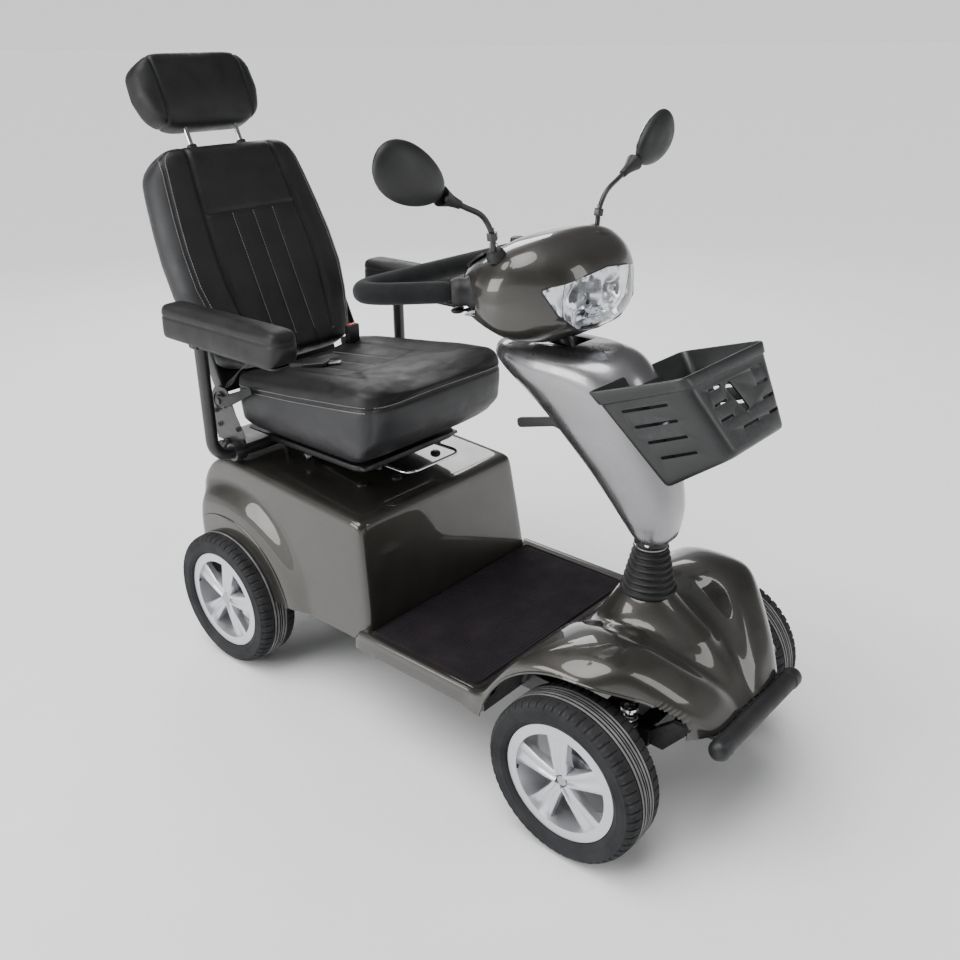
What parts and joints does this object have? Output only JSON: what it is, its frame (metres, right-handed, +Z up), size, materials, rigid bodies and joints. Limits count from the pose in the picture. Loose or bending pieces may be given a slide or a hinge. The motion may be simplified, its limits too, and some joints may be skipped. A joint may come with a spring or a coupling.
{
  "type": "mobility scooter",
  "caption": "Four-wheel mobility scooter with a swivelling captain's seat, tilting tiller with a delta handlebar, front basket, mirrors and low step-through deck.",
  "frame": {"origin": "on the ground, under the middle of the overall length and width", "axes": "+X forwards, +Y to the rider's left, +Z up"},
  "size_m": [1.6377, 0.8478, 1.3732],
  "materials": {
    "body_paint": "metallic gloss",
    "tiller_paint": "metallic gloss",
    "leather": "satin",
    "foam_grip": "matte",
    "black_plastic": "satin",
    "battery_case": "matte",
    "mat_rubber": "matte",
    "tyre_rubber": "matte",
    "rim_silver": "satin",
    "frame_steel": "satin",
    "bare_steel": "satin",
    "casting": "matte",
    "chrome": "polished",
    "clear_lens": "gloss",
    "bellows_rubber": "satin",
    "button_red": "gloss",
    "basket_plastic": "satin"
  },
  "bodies": {
    "chassis": {"chassis_frame": "frame_steel", "front_axle_beam": "frame_steel", "batteries": "battery_case", "motor_controller": "casting", "transaxle_housing": "casting", "drive_motor": "frame_steel", "rear_cover": "body_paint", "front_cover": "body_paint", "floor_mat": "mat_rubber", "bumper_tube": "frame_steel", "bumper_bracket": "frame_steel", "steering_bellows": "bellows_rubber", "seat_post": "frame_steel"},
    "wheel_rear_right": {"rim_rear_right": "rim_silver", "tyre_rear_right": "tyre_rubber", "axle_shaft_right": "bare_steel"},
    "wheel_rear_left": {"rim_rear_left": "rim_silver", "tyre_rear_left": "tyre_rubber", "axle_shaft_left": "bare_steel"},
    "wheel_front_right": {"rim_front_right": "rim_silver", "tyre_front_right": "tyre_rubber"},
    "wheel_front_left": {"rim_front_left": "rim_silver", "tyre_front_left": "tyre_rubber"},
    "steering_column": {"steering_column": "bare_steel"},
    "knuckle_right": {"knuckle_right": "frame_steel"},
    "knuckle_left": {"knuckle_left": "frame_steel"},
    "tie_rod_right": {"tie_rod_right": "bare_steel"},
    "tie_rod_left": {"tie_rod_left": "bare_steel"},
    "tiller": {"tiller_frame": "frame_steel", "tiller_cover": "tiller_paint", "head_cover": "body_paint", "headlight_lens": "clear_lens", "handlebar_tube": "frame_steel", "handlebar_grip": "foam_grip", "basket": "basket_plastic"},
    "wigwag_lever": {"wigwag_lever": "chrome"},
    "brake_lever": {"brake_lever": "bare_steel"},
    "tilt_lever": {"tilt_lever": "black_plastic"},
    "ignition_key": {"ignition_key": "bare_steel"},
    "speed_dial": {"speed_dial": "black_plastic"},
    "horn_button": {"horn_button": "black_plastic"},
    "mirror_arm_right": {"mirror_stem_right": "frame_steel"},
    "mirror_arm_left": {"mirror_stem_left": "frame_steel"},
    "mirror_right": {"mirror_head_right": "black_plastic"},
    "mirror_left": {"mirror_head_left": "black_plastic"},
    "swivel": {"swivel_plate": "frame_steel"},
    "seat": {"seat_pan": "frame_steel", "seat_cushion": "leather", "belt_buckle": "black_plastic"},
    "backrest": {"backrest": "leather"},
    "headrest": {"headrest_pad": "leather", "headrest_posts": "chrome"},
    "arm_right": {"arm_tube_right": "frame_steel"},
    "arm_left": {"arm_tube_left": "frame_steel"},
    "arm_pad_right": {"arm_pad_right": "leather"},
    "arm_pad_left": {"arm_pad_left": "leather"},
    "recline_lever": {"recline_lever": "black_plastic"},
    "slide_handle": {"slide_handle": "chrome"},
    "swivel_lever": {"swivel_lever": "bare_steel"},
    "buckle_button": {"buckle_button": "button_red"}
  },
  "joints": [
    {"name": "steering_turn", "type": "hinge", "parent": "chassis", "child": "steering_column", "pos_m": [0.5509, 0, 0.3], "axis": [0, 0, 1], "range_deg": [-30, 30]},
    {"name": "knuckle_right_turn", "type": "hinge", "parent": "chassis", "child": "knuckle_right", "pos_m": [0.5779, -0.2, 0.165], "axis": [0, 0, 1], "range_deg": [-30, 30]},
    {"name": "tie_rod_right_turn", "type": "hinge", "parent": "knuckle_right", "child": "tie_rod_right", "pos_m": [0.5179, -0.2, 0.122], "axis": [0, 0, 1], "range_deg": [-30, 30]},
    {"name": "wheel_front_right_spin", "type": "hinge", "parent": "knuckle_right", "child": "wheel_front_right", "pos_m": [0.5779, -0.275, 0.165], "axis": [0, 1, 0], "continuous": true},
    {"name": "wheel_rear_right_spin", "type": "hinge", "parent": "chassis", "child": "wheel_rear_right", "pos_m": [-0.4241, -0.275, 0.165], "axis": [0, 1, 0], "continuous": true},
    {"name": "knuckle_left_turn", "type": "hinge", "parent": "chassis", "child": "knuckle_left", "pos_m": [0.5779, 0.2, 0.165], "axis": [0, 0, 1], "range_deg": [-30, 30]},
    {"name": "tie_rod_left_turn", "type": "hinge", "parent": "knuckle_left", "child": "tie_rod_left", "pos_m": [0.5179, 0.2, 0.122], "axis": [0, 0, 1], "range_deg": [-30, 30]},
    {"name": "wheel_front_left_spin", "type": "hinge", "parent": "knuckle_left", "child": "wheel_front_left", "pos_m": [0.5779, 0.275, 0.165], "axis": [0, 1, 0], "continuous": true},
    {"name": "wheel_rear_left_spin", "type": "hinge", "parent": "chassis", "child": "wheel_rear_left", "pos_m": [-0.4241, 0.275, 0.165], "axis": [0, 1, 0], "continuous": true},
    {"name": "tiller_tilt", "type": "hinge", "parent": "steering_column", "child": "tiller", "pos_m": [0.5509, 0, 0.56], "axis": [0, -1, 0], "range_deg": [-15, 12]},
    {"name": "throttle_turn", "type": "hinge", "parent": "tiller", "child": "wigwag_lever", "pos_m": [0.2559, 0, 0.946], "axis": [0, 0, 1], "range_deg": [-10, 10], "stiffness_Nm_per_rad": 0.8},
    {"name": "brake_lever_pull", "type": "hinge", "parent": "tiller", "child": "brake_lever", "pos_m": [0.2879, -0.064, 0.9345], "axis": [0, 0, 1], "range_deg": [0, 12], "stiffness_Nm_per_rad": 0.5},
    {"name": "tilt_lever_lift", "type": "hinge", "parent": "tiller", "child": "tilt_lever", "pos_m": [0.3459, 0, 0.702], "axis": [0, 1, 0], "range_deg": [0, 12], "stiffness_Nm_per_rad": 1.5},
    {"name": "key_turn", "type": "hinge", "parent": "tiller", "child": "ignition_key", "pos_m": [0.2209, -0.07, 1.03], "axis": [0, 0, -1], "range_deg": [0, 90]},
    {"name": "speed_dial_turn", "type": "hinge", "parent": "tiller", "child": "speed_dial", "pos_m": [0.2209, 0, 1.03], "axis": [0, 0, -1], "range_deg": [-135, 135]},
    {"name": "horn_button_press", "type": "slide", "parent": "tiller", "child": "horn_button", "axis": [0, 0, -1], "range_m": [0, 0.002], "stiffness_N_per_m": 400},
    {"name": "mirror_arm_right_turn", "type": "hinge", "parent": "tiller", "child": "mirror_arm_right", "pos_m": [0.2929, -0.15, 1.03], "axis": [0, -0.1571, 0.9876], "range_deg": [-25, 25]},
    {"name": "mirror_right_tip", "type": "hinge", "parent": "mirror_arm_right", "child": "mirror_right", "pos_m": [0.2899, -0.268, 1.163], "axis": [-0.0265, -0.9174, 0.397], "range_deg": [-20, 20]},
    {"name": "mirror_arm_left_turn", "type": "hinge", "parent": "tiller", "child": "mirror_arm_left", "pos_m": [0.2929, 0.15, 1.03], "axis": [0, 0.1571, 0.9876], "range_deg": [-25, 25]},
    {"name": "mirror_left_tip", "type": "hinge", "parent": "mirror_arm_left", "child": "mirror_left", "pos_m": [0.2899, 0.268, 1.163], "axis": [-0.0265, 0.9174, 0.397], "range_deg": [-20, 20]},
    {"name": "seat_swivel", "type": "hinge", "parent": "chassis", "child": "swivel", "pos_m": [-0.2891, 0, 0.5], "axis": [0, 0, -1], "range_deg": [-90, 90]},
    {"name": "seat_slide", "type": "slide", "parent": "swivel", "child": "seat", "axis": [-1, 0, 0], "range_m": [-0.08, 0.05]},
    {"name": "backrest_recline", "type": "hinge", "parent": "seat", "child": "backrest", "pos_m": [-0.4641, 0, 0.64], "axis": [0, -1, 0], "range_deg": [-15, 30]},
    {"name": "headrest_height", "type": "slide", "parent": "backrest", "child": "headrest", "axis": [-0.4067, 0, 0.9135], "range_m": [-0.03, 0.05]},
    {"name": "arm_right_width", "type": "slide", "parent": "seat", "child": "arm_right", "axis": [0, -1, 0], "range_m": [0, 0.04]},
    {"name": "arm_pad_right_lift", "type": "hinge", "parent": "arm_right", "child": "arm_pad_right", "pos_m": [-0.4141, -0.3, 0.8], "axis": [0, -1, 0], "range_deg": [0, 85]},
    {"name": "arm_left_width", "type": "slide", "parent": "seat", "child": "arm_left", "axis": [0, 1, 0], "range_m": [0, 0.04]},
    {"name": "arm_pad_left_lift", "type": "hinge", "parent": "arm_left", "child": "arm_pad_left", "pos_m": [-0.4141, 0.3, 0.8], "axis": [0, -1, 0], "range_deg": [0, 85]},
    {"name": "recline_lever_lift", "type": "hinge", "parent": "seat", "child": "recline_lever", "pos_m": [-0.4641, -0.234, 0.64], "axis": [0, -1, 0], "range_deg": [0, 15], "stiffness_Nm_per_rad": 1.5},
    {"name": "slide_handle_lift", "type": "hinge", "parent": "seat", "child": "slide_handle", "pos_m": [-0.0941, 0, 0.533], "axis": [0, -1, 0], "range_deg": [0, 5], "stiffness_Nm_per_rad": 2},
    {"name": "swivel_lever_lift", "type": "hinge", "parent": "swivel", "child": "swivel_lever", "pos_m": [-0.2891, -0.106, 0.517], "axis": [-1, 0, 0], "range_deg": [0, 8], "stiffness_Nm_per_rad": 0.5},
    {"name": "buckle_press", "type": "slide", "parent": "seat", "child": "buckle_button", "axis": [0, 0, -1], "range_m": [0, 0.003], "stiffness_N_per_m": 400}
  ],
  "couplings": [
    {"joint": "knuckle_right_turn", "follows": "steering_turn", "ratio": 1},
    {"joint": "tie_rod_right_turn", "follows": "steering_turn", "ratio": -1},
    {"joint": "knuckle_left_turn", "follows": "steering_turn", "ratio": 1},
    {"joint": "tie_rod_left_turn", "follows": "steering_turn", "ratio": -1}
  ]
}
